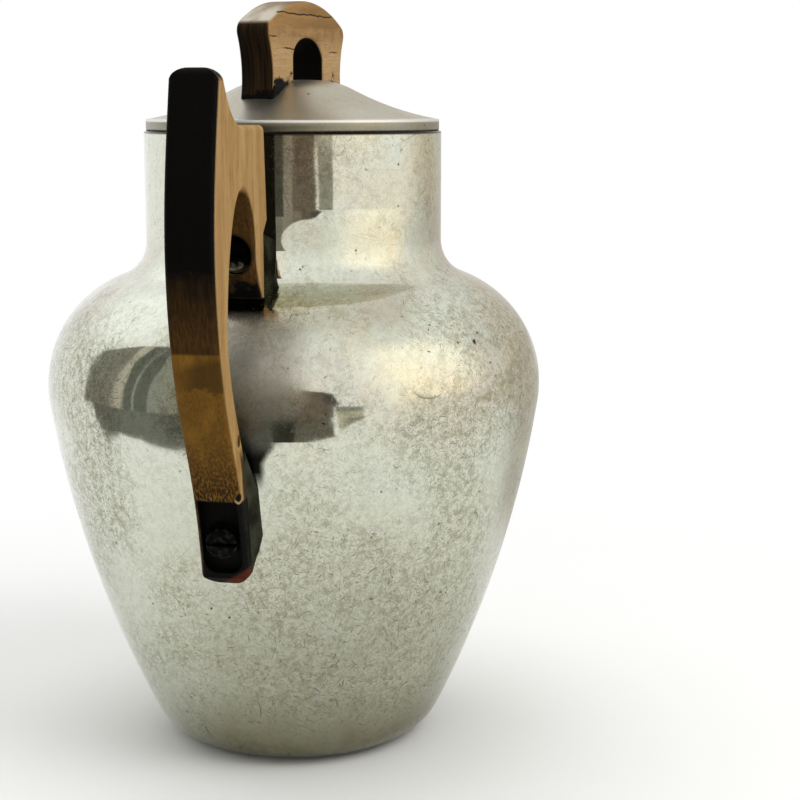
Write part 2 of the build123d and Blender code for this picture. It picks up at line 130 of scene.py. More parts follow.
def region(tree, values, ramps):
    """How far a point lies in a place that is bounded by ramps along some of the given values."""
    inside = None
    for along, start, end, low, high, *kind in ramps:
        ramp = add(tree, "MapRange", {0: values[along], 1: start, 2: end, 3: low, 4: high},
                   interpolation_type=kind[0] if kind else "LINEAR")[0]
        inside = ramp if inside is None else add(tree, "Math", {0: inside, 1: ramp}, operation="MULTIPLY")[0]
    return inside


def hairlines(tree, place, number, spacing, width, length, share):
    """Short scratches, at most one to a cell of the given spacing, each in a direction of its own."""
    shift = tuple(part * number for part in HAIRLINE_SHIFT)
    moved = add(tree, "VectorMath", {0: place, 1: shift}, operation="ADD")[0]
    cells = add(tree, "TexVoronoi", {"Vector": moved, "Scale": 1 / spacing})
    away = add(tree, "VectorMath", {0: moved, 1: cells["Position"]}, operation="SUBTRACT")[0]
    lean = add(tree, "VectorMath", {0: cells["Color"], 1: (0.5, 0.5, 0.5)}, operation="SUBTRACT")[0]
    lean = add(tree, "VectorMath", {0: lean}, operation="NORMALIZE")[0]
    across = add(tree, "VectorMath", {0: away, 1: lean}, operation="DOT_PRODUCT")["Value"]
    bow = add(tree, "Math", {0: cells["Distance"], 1: cells["Distance"]}, operation="MULTIPLY")[0]
    across = add(tree, "Math", {0: bow, 1: HAIRLINE_BOW * spacing, 2: across}, operation="MULTIPLY_ADD")[0]
    across = add(tree, "Math", {0: across}, operation="ABSOLUTE")[0]
    line = add(tree, "MapRange", {0: across, 1: 0.2 * width, 2: 0.5 * width, 3: 1.0, 4: 0.0})[0]
    reach = add(tree, "MapRange", {0: cells["Distance"], 1: 0.3 * length, 2: 0.5 * length, 3: 1.0, 4: 0.0})[0]
    chance = add(tree, "TexWhiteNoise", {"Vector": cells["Position"]})["Value"]
    shown = add(tree, "Math", {0: share, 1: chance}, operation="SUBTRACT")[0]
    shown = add(tree, "Math", {0: shown, 1: HAIRLINE_FADE}, operation="MULTIPLY", use_clamp=True)[0]
    line = add(tree, "Math", {0: line, 1: reach}, operation="MULTIPLY")[0]
    return add(tree, "Math", {0: line, 1: shown}, operation="MULTIPLY")[0]


def worn_aluminium(name, bright, cream, rosy, polish, haze, scratched, soot=None, rolled=None):
    """Sheet aluminium with wear: it mirrors where it is clean, and is dull along scratches and in patches.
    Only the pot has a colour of soot, which also serves for painted shade low on it, and only the lid has a
    rolled edge, given by its height."""
    made, tree, coords = new_material(name)
    place = coords["Object"]
    values = dict(add(tree, "SeparateXYZ", {0: place}).items())

    # Wear gathers in patches: there are more scratches and a duller skin there
    wear = add(tree, "TexNoise", {"Vector": place, "Scale": 1 / WEAR_SIZE, "Detail": 3.0, "Roughness": 0.55})[0]
    lean = region(tree, values, FLANK_LEAN)
    values["flank"] = add(tree, "Math", {0: values["Y"], 1: lean}, operation="ADD")[0]
    for ramps in WEAR_PLACES + (LEFT_FLANK,):
        more = region(tree, values, ramps)
        wear = add(tree, "Math", {0: wear, 1: more}, operation="ADD")[0]
    wear = add(tree, "MapRange", {0: wear, 1: 0.38, 2: 0.64})[0]
    share = add(tree, "MapRange", {0: wear, 3: 0.24 * scratched, 4: 0.80 * scratched})[0]

    # Hairlines are about a tenth of a millimetre wide: they are drawn over twice as wide so that they show
    scratches = hairlines(
        tree, place, 9, LONG_SCRATCH_SPACING, HAIRLINE_WIDTH, ACROSS_THE_CELL, 0.4 * scratched)
    for number, spacing in enumerate(HAIRLINE_SPACINGS):
        more = hairlines(tree, place, number, spacing, HAIRLINE_WIDTH, ACROSS_THE_CELL, share)
        scratches = add(tree, "Math", {0: scratches, 1: more}, operation="MAXIMUM")[0]

    # Scoured skin: a fine curly mottle, strong only where the wear is
    curl = add(tree, "TexNoise", {
        "Vector": place, "Scale": 1 / MOTTLE_SIZE, "Detail": 2.0, "Roughness": 0.6, "Distortion": 1.2})[0]
    curl = add(tree, "MapRange", {0: curl, 1: 0.42, 2: 0.54, 3: 1.0, 4: 0.0})[0]
    scour = add(tree, "MapRange", {0: wear, 3: 0.16, 4: 0.54 * scratched})[0]
    scour = add(tree, "Math", {0: scour, 1: curl}, operation="MULTIPLY")[0]

    # Pits: short ragged specks, where the metal has corroded. They come in crowds, most of them on the shoulder
    ragged = add(tree, "TexNoise", {"Vector": place, "Scale": 1 / PIT_EDGE_SIZE, "Detail": 2.0})["Color"]
    ragged = add(tree, "VectorMath", {0: ragged, "Scale": PIT_EDGE_REACH}, operation="SCALE")[0]
    ragged = add(tree, "VectorMath", {0: place, 1: ragged}, operation="ADD")[0]
    crowd = add(tree, "TexNoise", {"Vector": place, "Scale": 1 / PIT_CROWD_SIZE, "Detail": 2.0})[0]
    more = add(tree, "MapRange", {
        0: values["Z"], 1: PITTED_SHOULDER[0], 2: PITTED_SHOULDER[1], 4: 0.07 * scratched})[0]
    crowd = add(tree, "Math", {0: crowd, 1: more}, operation="ADD")[0]
    crowd = add(tree, "MapRange", {0: crowd, 1: 0.46, 2: 0.68, 3: 0.09, 4: 0.60})[0]
    pits = None
    for number, (spacing, width, length) in enumerate(PITS):
        more = hairlines(tree, ragged, 20 + number, spacing, width, length / spacing, crowd)
        pits = more if pits is None else add(tree, "Math", {0: pits, 1: more}, operation="MAXIMUM")[0]

    # Cream and rosy stains on the shoulder, fewer of them left of the handle
    stain = add(tree, "TexNoise", {
        "Vector": place, "Scale": 1 / STAIN_SIZE, "Detail": 4.0, "Roughness": 0.6})["Color"]
    tint = add(tree, "SeparateColor", {0: stain})
    upper = region(tree, values, STAINED_SHOULDER)
    paler = region(tree, values, FEWER_STAINS)
    creamy = add(tree, "MapRange", {0: tint[0], 1: 0.42, 2: 0.62, 3: 0.1, 4: 1.0})[0]
    for limit in (upper, paler):
        creamy = add(tree, "Math", {0: creamy, 1: limit}, operation="MULTIPLY")[0]
    blush = add(tree, "MapRange", {0: tint[1], 1: 0.52, 2: 0.70, 4: 0.75})[0]
    blush = add(tree, "Math", {0: blush, 1: upper}, operation="MULTIPLY")[0]
    layers = [(creamy, cream), (blush, rosy)]

    # Painted shade low on the pot for the floor's darker reflection, and soot at its foot; less of both on the
    # left
    if soot:
        grey = region(tree, values, LOW_PAINTED_SHADE)
        foot = region(tree, values, FOOT_SOOT_AND_SHADE)
        low = add(tree, "Math", {0: grey, 1: foot}, operation="ADD")[0]
        uneven = add(tree, "MapRange", {0: tint[2], 1: 0.3, 2: 0.7, 3: 0.80, 4: 1.15})[0]
        low = add(tree, "Math", {0: low, 1: uneven}, operation="MULTIPLY", use_clamp=True)[0]
        less_on_left = region(tree, values, LESS_SOOT_AND_SHADE_ON_LEFT)
        low = add(tree, "Math", {0: low, 1: less_on_left}, operation="MULTIPLY")[0]
        layers.append((low, soot))

    # Worn metal is greyer, and cloudy
    dull = add(tree, "Math", {0: wear, 1: 0.12}, operation="MULTIPLY")[0]
    cloud = add(tree, "TexNoise", {
        "Vector": place, "Scale": 1 / CLOUD_SIZE, "Detail": 3.0, "Roughness": 0.6})[0]
    cloud = add(tree, "MapRange", {0: cloud, 1: 0.46, 2: 0.64, 3: 0.0, 4: 0.60 * scratched})[0]
    patchy = add(tree, "MapRange", {0: wear, 3: 0.25, 4: 1.0})[0]
    cloud = add(tree, "Math", {0: cloud, 1: patchy}, operation="MULTIPLY")[0]
    layers += [(dull, "#B2B3A2"), (scour, "#8A8975"), (cloud, "#938E72")]

    # On one side of the handle, painted shade darkens the root of the neck, where the leg and lug shade the metal,
    # and the lower neck
    if soot:
        layers.append((region(tree, values, ROOT_PAINTED_SHADE), "#8F8766"))
        layers.append((region(tree, values, LOWER_NECK_PAINTED_SHADE), "#8F8D7A"))

    # Dirt fills the scratches and pits, and painted shade darkens the seam between rim and lid
    dirt = add(tree, "Math", {0: scratches, 1: 0.70}, operation="MULTIPLY")[0]
    layers += [(dirt, "#6B6957"), (pits, "#2B271D"), (region(tree, values, SEAM_SHADE), "#14120D")]

    # A rolled edge has a painted dark reflection on its flat and a painted highlight along its top
    if rolled:
        values["roll"] = add(tree, "Math", {0: values["Z"], 1: rolled}, operation="SUBTRACT")[0]
        layers.append((region(tree, values, ROLL_DARK_REFLECTION), "#5F5A49"))
        layers.append((region(tree, values, ROLL_HIGHLIGHT), "#E6E5DC"))

    rough = add(tree, "MapRange", {0: wear, 3: polish, 4: haze})[0]
    rough = add(tree, "Math", {0: scratches, 1: 0.20, 2: rough}, operation="MULTIPLY_ADD")[0]
    metal = 1.0
    if soot:
        rough = add(tree, "Math", {0: low, 1: 0.14, 2: rough}, operation="MULTIPLY_ADD")[0]

        # No buffing wheel or cloth reaches behind the handle: the metal there stays dull, grey and filmed over
        beside = add(tree, "Math", {0: values["Y"], 1: HANDLE_MIDDLE}, operation="SUBTRACT")[0]
        beside = add(tree, "Math", {0: beside}, operation="ABSOLUTE")[0]
        narrow = region(tree, values, HANDLE_NARROWS)
        values["beside"] = add(tree, "Math", {0: beside, 1: narrow}, operation="ADD")[0]
        behind = region(tree, values, BEHIND_HANDLE)
        grimy = add(tree, "Math", {0: behind, 1: 0.62}, operation="MULTIPLY")[0]
        rough = add(tree, "Math", {0: behind, 1: 0.26, 2: rough}, operation="MULTIPLY_ADD")[0]
        film = region(tree, values, HANDLE_FILM)
        metal = add(tree, "Math", {0: behind, 1: film, 2: 1.0}, operation="MULTIPLY_ADD")[0]

        # Painted shadow, with some soot, darkens the narrow gap between the handle's tip and the pot, and spreads
        # above it
        gap = add(tree, "Math", {0: values["Y"], 1: GAP_MIDDLE}, operation="SUBTRACT")[0]
        gap = add(tree, "Math", {0: gap}, operation="ABSOLUTE")[0]
        spread = region(tree, values, GAP_SPREADS)
        values["gap"] = add(tree, "Math", {0: gap, 1: spread}, operation="ADD")[0]
        shade_and_soot = region(tree, values, GAP_SOOT_AND_PAINTED_SHADOW)
        rough = add(tree, "Math", {0: shade_and_soot, 1: 0.35, 2: rough}, operation="MULTIPLY_ADD")[0]
        layers += [(grimy, "#7A7466"), (shade_and_soot, "#1E1C17")]

    skin = linear(bright)
    for layer, tone in layers:
        skin = add(tree, "Mix", {0: layer, 6: skin, 7: linear(tone)}, data_type="RGBA")[2]

    # Inside, boiled water has left a grey skin on the metal, and coffee has stained it brown
    if soot:
        outward = add(tree, "CombineXYZ", {"X": values["X"], "Y": values["Y"]})[0]
        outward = add(tree, "VectorMath", {0: outward, 1: coords["Normal"]}, operation="DOT_PRODUCT")["Value"]
        inside = add(tree, "MapRange", {0: outward, 1: 0.002, 2: 0.001})[0]
        above = add(tree, "Math", {0: values["Z"], 1: BASE_FLAT}, operation="GREATER_THAN")[0]
        inside = add(tree, "Math", {0: inside, 1: above}, operation="MULTIPLY")[0]
        tide = add(tree, "MapRange", {0: tint[1], 1: 0.3, 2: 0.7, 3: -TIDE_WAVER, 4: TIDE_WAVER})[0]
        values["tide"] = add(tree, "Math", {0: values["Z"], 1: tide}, operation="ADD")[0]
        tide = region(tree, values, COFFEE_TIDE)
        lining = add(tree, "Mix", {0: tide, 6: linear("#A39D8E"), 7: linear("#6E5F49")}, data_type="RGBA")[2]
        lining = add(tree, "Mix", {0: scour, 6: lining, 7: linear("#5A5142")}, data_type="RGBA")[2]
        skin = add(tree, "Mix", {0: inside, 6: skin, 7: lining}, data_type="RGBA")[2]
        rough = add(tree, "Mix", {0: inside, 2: rough, 3: LINING_ROUGHNESS})[0]
        metal = add(tree, "Mix", {0: inside, 2: metal, 3: LINING_METAL})[0]

    # Hand buffing leaves a gentle unevenness that bends the mirror image
    dents = add(tree, "TexNoise", {"Vector": place, "Scale": 1 / DENT_SIZE, "Detail": 1.0})[0]
    relief = add(tree, "Bump", {"Strength": 1.0, "Distance": DENT_DEPTH, "Height": dents})[0]
    # The neck flares a little before it meets the shoulder
    if soot:
        flare = region(tree, values, NECK_FLARES)
        relief = add(tree, "Bump", {"Strength": 1.0, "Distance": NECK_FLARE, "Height": flare, "Normal": relief})[0]
    # A rolled edge bulges: its upper part mirrors the ceiling and its lower part the floor
    if rolled:
        bulge = add(tree, "Math", {0: values["roll"], 1: values["roll"]}, operation="MULTIPLY")[0]
        bulge = add(tree, "Math", {0: bulge, 1: -ROLL_BULGE}, operation="MULTIPLY")[0]
        bulge = add(tree, "Math", {0: bulge, 1: -ROLL_BULGE * ROLL_HALF ** 2}, operation="MAXIMUM")[0]
        relief = add(tree, "Bump", {"Strength": 1.0, "Distance": 1.0, "Height": bulge, "Normal": relief})[0]
    shader = add(tree, "BsdfPrincipled", {
        "Base Color": skin, "Roughness": rough, "Normal": relief, "Metallic": metal})
    add(tree, "OutputMaterial", {"Surface": shader[0]})
    return made


# Its soot colour also serves as painted shade low on the pot, for the floor's darker reflection there
polished_aluminium = worn_aluminium(
    "buffed_spun_aluminium", bright="#DDE1D2", cream="#E2D8BC", rosy="#D6CCBF", soot="#706C50",
    polish=0.05, haze=0.11, scratched=1.0)
dress("pot_shell", polished_aluminium)

# Spout: a beak bent up from the same sheet and welded over a notch in the neck.
# It is polished together with the pot, so it has the same finish.
dress("spout", polished_aluminium)

# Handle lugs: small aluminium castings that stand the handle off the pot.
# Their skin is dull and dark as it came from sand and greyed by soot; their colour also holds painted
# shade, as they sit in the handle's shadow.
CAST_GRIT = 0.0011
CAST_GRIT_DEPTH = 0.0003
CAST_GRIME_SIZE = 0.009
made, tree, coords = new_material("sand_cast_aluminium_painted_shade")
grit = add(tree, "TexNoise", {"Vector": coords["Object"], "Scale": 1 / CAST_GRIT, "Detail": 3.0})[0]
darkening = add(tree, "TexNoise", {"Vector": coords["Object"], "Scale": 1 / CAST_GRIME_SIZE, "Detail": 3.0})[0]
darkening = add(tree, "MapRange", {0: darkening, 1: 0.4, 2: 0.62})[0]
colour = add(tree, "Mix", {0: darkening, 6: linear("#4A4B40"), 7: linear("#2C2C24")}, data_type="RGBA")[2]
rough = add(tree, "MapRange", {0: grit, 3: 0.38, 4: 0.62})[0]
relief = add(tree, "Bump", {"Strength": 0.4, "Distance": CAST_GRIT_DEPTH, "Height": grit})[0]
shader = add(tree, "BsdfPrincipled", {
    "Base Color": colour, "Roughness": rough, "Normal": relief, "Metallic": 1.0,
    "Specular Tint": linear("#8A8A80")})
add(tree, "OutputMaterial", {"Surface": shader[0]})
for node in ("upper_handle_lug", "lower_handle_lug"):
    dress(node, made)

# Rivets: soft aluminium, headed inside the pot with a round snap.
# Hammer marks and stale coffee leave them dull.
HAMMER_MARK = 0.0013
HAMMER_MARK_DEPTH = 0.0002
made, tree, coords = new_material("hammered_rivet_aluminium")
marks = add(tree, "TexVoronoi", {"Vector": coords["Object"], "Scale": 1 / HAMMER_MARK})["Distance"]
colour = add(tree, "Mix", {0: marks, 6: linear("#9E9C8E"), 7: linear("#7A7362")}, data_type="RGBA")[2]
rough = add(tree, "MapRange", {0: marks, 3: 0.35, 4: 0.55})[0]
relief = add(tree, "Bump", {"Strength": 0.3, "Distance": HAMMER_MARK_DEPTH, "Height": marks})[0]
shader = add(tree, "BsdfPrincipled", {
    "Base Color": colour, "Roughness": rough, "Normal": relief, "Metallic": 1.0})
add(tree, "OutputMaterial", {"Surface": shader[0]})
for node in ("upper_lug_rivets", "lower_lug_rivets"):
    dress(node, made)

# Handle: sawn from one plank of walnut-brown hardwood with the grain upright, rounded by hand and oiled.
# Heat and hands have blackened its outer face towards the top, the end of its short leg and its tip,
# while the flat sides are rubbed back to tan.
# Width and length of fibres, pores and streaks. Real fibres and pores are finer: they are drawn so that they show
FIBRE = (0.0005, 0.014)
PORE = (0.00045, 0.0045)
STREAK = (0.0050, 0.070)
GRAIN_DEPTH = 0.00025
SWAY_SIZE = 0.025
SWAY = 0.004
HANDLE_SMEAR_SIZE = 0.006
HANDLE_SMEAR = 0.0035
SPECKLE = (0.0006, 0.0019)
VARNISH_END = 0.1537
LIGHT_BAND_END = 0.1497
DARK_BAND_END = 0.1415
SPECKLE_TOP = 0.1285
RECESS_TOP = 0.1062
RECESS_HALF = 0.0064
LEG_FRONT = -0.092
LEG_FOOT = 0.150
SCREW_HEIGHT = 0.1801
# Where stains and painted shade start and end, by height, and for the tip's back edge and rim along a slant
BURNT = (0.159, 0.179)
HORN_TOP = (0.228, 0.232)
STEAMED = (0.160, 0.172)
TOE_CHAR = (0.1740, 0.1700)
TIP_SHADE = (-0.0676, -0.0664)
TIP_SHADE_TOP = (0.1190, 0.1230)
TIP_RIM = (0.0785, 0.0773)
OILED_WOOD_IOR = 1.5
OILED_WOOD_GLOSS = 0.08
# Marks near the tip: middle, half sizes, colour within and colour of the lower rim
TIP_MARKS = (
    ((-0.0970, -0.00775, 0.1252), (0.0016, 0.0012, 0.0023), "#4A3210", "#B4915C"),
    ((-0.0960, -0.0072, 0.1072), (0.0011, 0.0011, 0.0016), "#0B0703", "#A8966C"))


def wood_grain(tree, place, across, along):
    """Fibres, pores and broad streaks of a plank whose grain runs along one axis."""
    sway = add(tree, "TexNoise", {"Vector": place, "Scale": 1 / SWAY_SIZE, "Detail": 1.0})["Color"]
    sway = add(tree, "VectorMath", {0: sway, "Scale": SWAY}, operation="SCALE")[0]
    swayed = add(tree, "VectorMath", {0: place, 1: sway}, operation="ADD")[0]
    found = []
    for (width, length), detail, start, end in (
            (FIBRE, 3.0, 0.30, 0.70), (PORE, 1.0, 0.60, 0.72), (STREAK, 2.0, 0.42, 0.64)):
        size = tuple(a / width + b / length for a, b in zip(across, along))
        drawn = add(tree, "VectorMath", {0: swayed, 1: size}, operation="MULTIPLY")[0]
        drawn = add(tree, "TexNoise", {"Vector": drawn, "Scale": 1.0, "Detail": detail})[0]
        found.append(add(tree, "MapRange", {0: drawn, 1: start, 2: end})[0])
    return found


made, tree, coords = new_material("oiled_walnut_handle")
place = coords["Object"]
axes = add(tree, "SeparateXYZ", {0: place})
facing = add(tree, "SeparateXYZ", {0: coords["Normal"]})
fibre, pores, streak = wood_grain(tree, place, (1, 1, 0), (0, 0, 1))
smear = add(tree, "TexNoise", {
    "Vector": place, "Scale": 1 / HANDLE_SMEAR_SIZE, "Detail": 4.0, "Roughness": 0.65})[0]
smear = add(tree, "MapRange", {0: smear, 1: 0.3, 2: 0.7, 3: -HANDLE_SMEAR, 4: HANDLE_SMEAR})[0]
fuzzy = add(tree, "Math", {0: axes["Z"], 1: smear}, operation="ADD")[0]

tan = add(tree, "Mix", {0: fibre, 6: linear("#8F6C3E"), 7: linear("#A98450")}, data_type="RGBA")[2]
tan = add(tree, "Mix", {0: streak, 6: tan, 7: linear("#AE8C5A")}, data_type="RGBA")[2]
pore_shade = add(tree, "Math", {0: pores, 1: 0.35}, operation="MULTIPLY")[0]
tan = add(tree, "Mix", {0: pore_shade, 6: tan, 7: linear("#6B4A22")}, data_type="RGBA")[2]

# Outer face: bare brown wood below, with dark speckled pores above the recess
brown = add(tree, "Mix", {0: fibre, 6: linear("#5A3D0C"), 7: linear("#71501A")}, data_type="RGBA")[2]
brown = add(tree, "Mix", {0: streak, 6: brown, 7: linear("#775418")}, data_type="RGBA")[2]
speckle = add(tree, "MapRange", {0: axes["Z"], 1: RECESS_TOP, 2: SPECKLE_TOP, 3: 1.0, 4: 0.16})[0]
speckle_scale = (1 / SPECKLE[0], 1 / SPECKLE[0], 1 / SPECKLE[1])
coarse = add(tree, "VectorMath", {0: place, 1: speckle_scale}, operation="MULTIPLY")[0]
coarse = add(tree, "TexNoise", {"Vector": coarse, "Scale": 1.0, "Detail": 2.0})[0]
speckled = add(tree, "MapRange", {0: coarse, 1: 0.36, 2: 0.54, 4: 0.95})[0]
speckled = add(tree, "Math", {0: speckled, 1: speckle}, operation="MULTIPLY")[0]
brown = add(tree, "Mix", {0: speckled, 6: brown, 7: linear("#1A0F03")}, data_type="RGBA")[2]

# Old dark varnish above, with a sharp lower end, a pale band and a second dark band on one side
band = add(tree, "MapRange", {0: fuzzy, 1: DARK_BAND_END, 2: DARK_BAND_END + 0.002})[0]
one_side = add(tree, "MapRange", {0: axes["Y"], 1: 0.009, 2: 0.001})[0]
slant = add(tree, "Math", {0: axes["Y"], 1: 0.30, 2: axes["Z"]}, operation="MULTIPLY_ADD")[0]
pale = add(tree, "MapRange", {0: slant, 1: LIGHT_BAND_END, 2: LIGHT_BAND_END + 0.0030, 3: 1.0, 4: 0.0})[0]
for limit in (one_side, pale, 0.75):
    band = add(tree, "Math", {0: band, 1: limit}, operation="MULTIPLY")[0]
face = add(tree, "Mix", {0: band, 6: brown, 7: linear("#3C2807")}, data_type="RGBA")[2]
lit = add(tree, "Mix", {0: fibre, 6: linear("#2E1C06"), 7: linear("#4A310B")}, data_type="RGBA")[2]
burnt = add(tree, "MapRange", {0: fuzzy, 1: BURNT[0], 2: BURNT[1]})[0]
varnish = add(tree, "Mix", {0: burnt, 6: lit, 7: linear("#060402")}, data_type="RGBA")[2]
varnished = add(tree, "MapRange", {0: axes["Z"], 1: VARNISH_END, 2: VARNISH_END + 0.0008})[0]
face = add(tree, "Mix", {0: varnished, 6: face, 7: varnish}, data_type="RGBA")[2]

# Short leg: brown under the arch, painted black as shade in the screw's hole, and charred at its end
leg_char_and_hole_shade = add(tree, "MapRange", {0: fuzzy, 1: SCREW_HEIGHT - 0.0110, 2: SCREW_HEIGHT - 0.0138})[0]
drop = add(tree, "Math", {0: axes["Z"], 1: SCREW_HEIGHT}, operation="SUBTRACT")[0]
hole = add(tree, "CombineXYZ", {"Y": axes["Y"], "Z": drop})[0]
hole = add(tree, "VectorMath", {0: hole}, operation="LENGTH")["Value"]
hole = add(tree, "MapRange", {0: hole, 1: 0.0062, 2: 0.0074, 3: 1.0, 4: 0.0})[0]
leg_char_and_hole_shade = add(tree, "Math", {0: leg_char_and_hole_shade, 1: hole}, operation="MAXIMUM")[0]
leg_brown = add(tree, "Mix", {0: fibre, 6: linear("#352105"), 7: linear("#553A12")}, data_type="RGBA")[2]
leg_face = add(tree, "Mix", {0: leg_char_and_hole_shade, 6: leg_brown, 7: linear("#040302")}, data_type="RGBA")[2]
on_leg = add(tree, "Math", {0: axes["X"], 1: LEG_FRONT}, operation="GREATER_THAN")[0]
high = add(tree, "Math", {0: axes["Z"], 1: LEG_FOOT}, operation="GREATER_THAN")[0]
on_leg = add(tree, "Math", {0: on_leg, 1: high}, operation="MULTIPLY")[0]
face = add(tree, "Mix", {0: on_leg, 6: face, 7: leg_face}, data_type="RGBA")[2]
outward = add(tree, "MapRange", {0: facing["X"], 1: -0.20, 2: -0.55})[0]
colour = add(tree, "Mix", {0: outward, 6: tan, 7: face}, data_type="RGBA")[2]

# The horn's top is black with handling, and the faces towards the pot and under the leg are browned by heat
top = add(tree, "MapRange", {0: facing["Z"], 1: 0.25, 2: 0.60})[0]
horn = add(tree, "MapRange", {0: axes["Z"], 1: HORN_TOP[0], 2: HORN_TOP[1]})[0]
horn = add(tree, "Math", {0: horn, 1: top}, operation="MULTIPLY")[0]
colour = add(tree, "Mix", {0: horn, 6: colour, 7: linear("#060402")}, data_type="RGBA")[2]
inward = add(tree, "MapRange", {0: facing["X"], 1: 0.25, 2: 0.60})[0]
heated = add(tree, "Mix", {0: fibre, 6: linear("#4A3A22"), 7: linear("#6E5630")}, data_type="RGBA")[2]
steamed = add(tree, "MapRange", {0: fuzzy, 1: STEAMED[0], 2: STEAMED[1]})[0]
heated = add(tree, "Mix", {0: steamed, 6: heated, 7: linear("#26221B")}, data_type="RGBA")[2]
colour = add(tree, "Mix", {0: inward, 6: colour, 7: heated}, data_type="RGBA")[2]
sides = add(tree, "Math", {0: facing["Y"]}, operation="ABSOLUTE")[0]
sides = add(tree, "MapRange", {0: sides, 1: 0.80, 2: 0.55})[0]
toe = add(tree, "MapRange", {0: fuzzy, 1: TOE_CHAR[0], 2: TOE_CHAR[1]})[0]
for limit in (on_leg, sides):
    toe = add(tree, "Math", {0: toe, 1: limit}, operation="MULTIPLY")[0]
colour = add(tree, "Mix", {0: toe, 6: colour, 7: linear("#040302")}, data_type="RGBA")[2]

# Painted shadow of the gap behind, with some soot, darkens the back edge of the tip
slant = add(tree, "Math", {0: axes["Z"], 1: 0.24, 2: axes["X"]}, operation="MULTIPLY_ADD")[0]
slant = add(tree, "Math", {0: smear, 1: 0.10, 2: slant}, operation="MULTIPLY_ADD")[0]
shade_and_soot = add(tree, "MapRange", {0: slant, 1: TIP_SHADE[0], 2: TIP_SHADE[1]})[0]
tip_top = add(tree, "MapRange", {0: axes["Z"], 1: TIP_SHADE_TOP[0], 2: TIP_SHADE_TOP[1], 3: 0.9, 4: 0.0})[0]
shade_and_soot = add(tree, "Math", {0: shade_and_soot, 1: tip_top}, operation="MULTIPLY")[0]
colour = add(tree, "Mix", {0: shade_and_soot, 6: colour, 7: linear("#231E14")}, data_type="RGBA")[2]

# Tip: charred in and beside its recess, with a reddish lower rim
tip = add(tree, "MapRange", {0: axes["Z"], 1: RECESS_TOP, 2: RECESS_TOP - 0.0008})[0]
left_rim = add(tree, "MapRange", {0: axes["Y"], 1: RECESS_HALF, 2: RECESS_HALF + 0.0006, 3: 1.0, 4: 0.0})[0]
black_mask = add(tree, "Math", {0: tip, 1: left_rim}, operation="MULTIPLY")[0]
colour = add(tree, "Mix", {0: black_mask, 6: colour, 7: linear("#050403")}, data_type="RGBA")[2]
slant = add(tree, "Math", {0: axes["Y"], 1: 0.64, 2: axes["Z"]}, operation="MULTIPLY_ADD")[0]
rim = add(tree, "MapRange", {0: slant, 1: TIP_RIM[0], 2: TIP_RIM[1]})[0]
colour = add(tree, "Mix", {0: rim, 6: colour, 7: linear("#4A200C")}, data_type="RGBA")[2]

# A knot has dropped out of the side above the tip, and the corner of the recess has a hole with a chipped rim
for middle, reach, hollow, chipped in TIP_MARKS:
    off = add(tree, "VectorMath", {0: place, 1: middle}, operation="SUBTRACT")[0]
    off = add(tree, "VectorMath", {0: off, 1: reach}, operation="DIVIDE")[0]
    off = add(tree, "VectorMath", {0: off}, operation="LENGTH")["Value"]
    chip = add(tree, "MapRange", {0: off, 1: 1.30, 2: 1.50, 3: 0.8, 4: 0.0})[0]
    below = add(tree, "MapRange", {
        0: axes["Z"], 1: middle[2] - 0.2 * reach[2], 2: middle[2] - 0.8 * reach[2]})[0]
    chip = add(tree, "Math", {0: chip, 1: below}, operation="MULTIPLY")[0]
    colour = add(tree, "Mix", {0: chip, 6: colour, 7: linear(chipped)}, data_type="RGBA")[2]
    knot = add(tree, "MapRange", {0: off, 1: 0.75, 2: 1.05, 3: 1.0, 4: 0.0})[0]
    colour = add(tree, "Mix", {0: knot, 6: colour, 7: linear(hollow)}, data_type="RGBA")[2]

rough = add(tree, "MapRange", {0: fibre, 3: 0.52, 4: 0.68})[0]
height = add(tree, "Math", {0: pores, 1: -1.0, 2: fibre}, operation="MULTIPLY_ADD")[0]
relief = add(tree, "Bump", {"Strength": 0.30, "Distance": GRAIN_DEPTH, "Height": height})[0]
shader = add(tree, "BsdfPrincipled", {
    "Base Color": colour, "Roughness": rough, "Normal": relief, "IOR": OILED_WOOD_IOR,
    "Specular IOR Level": OILED_WOOD_GLOSS})
add(tree, "OutputMaterial", {"Surface": shader[0]})
dress("handle", made)

# Upper handle screw and washer: a slotted steel screw sunk in the wood, on a flat washer.
# The upper part of the head is painted black as the shade of its hole; its lower part shows grey steel.
STEEL_SPOT = 0.0018
SHADE_EDGE_WANDER = 0.0012
made, tree, coords = new_material("turned_steel_painted_shade")
axes = add(tree, "SeparateXYZ", {0: coords["Object"]})
spots = add(tree, "TexNoise", {"Vector": coords["Object"], "Scale": 1 / STEEL_SPOT, "Detail": 4.0})[0]
edge = add(tree, "MapRange", {0: spots, 1: 0.3, 2: 0.7, 3: -SHADE_EDGE_WANDER, 4: SHADE_EDGE_WANDER})[0]
edge = add(tree, "Math", {0: axes["Z"], 1: edge}, operation="ADD")[0]
# Painted shade of the hole: black above a wavering height, grey steel below
darkening = add(tree, "MapRange", {0: edge, 1: SCREW_HEIGHT - 0.0038, 2: SCREW_HEIGHT - 0.0026})[0]
steel = add(tree, "Mix", {0: spots, 6: linear("#8F8D76"), 7: linear("#4E4A3C")}, data_type="RGBA")[2]
colour = add(tree, "Mix", {0: darkening, 6: steel, 7: linear("#0D0C0A")}, data_type="RGBA")[2]
rough = add(tree, "MapRange", {0: darkening, 3: 0.42, 4: 0.70})[0]
shader = add(tree, "BsdfPrincipled", {"Base Color": colour, "Roughness": rough, "Metallic": 1.0})
add(tree, "OutputMaterial", {"Surface": shader[0]})
for node in ("upper_handle_screw", "upper_screw_washer"):
    dress(node, made)

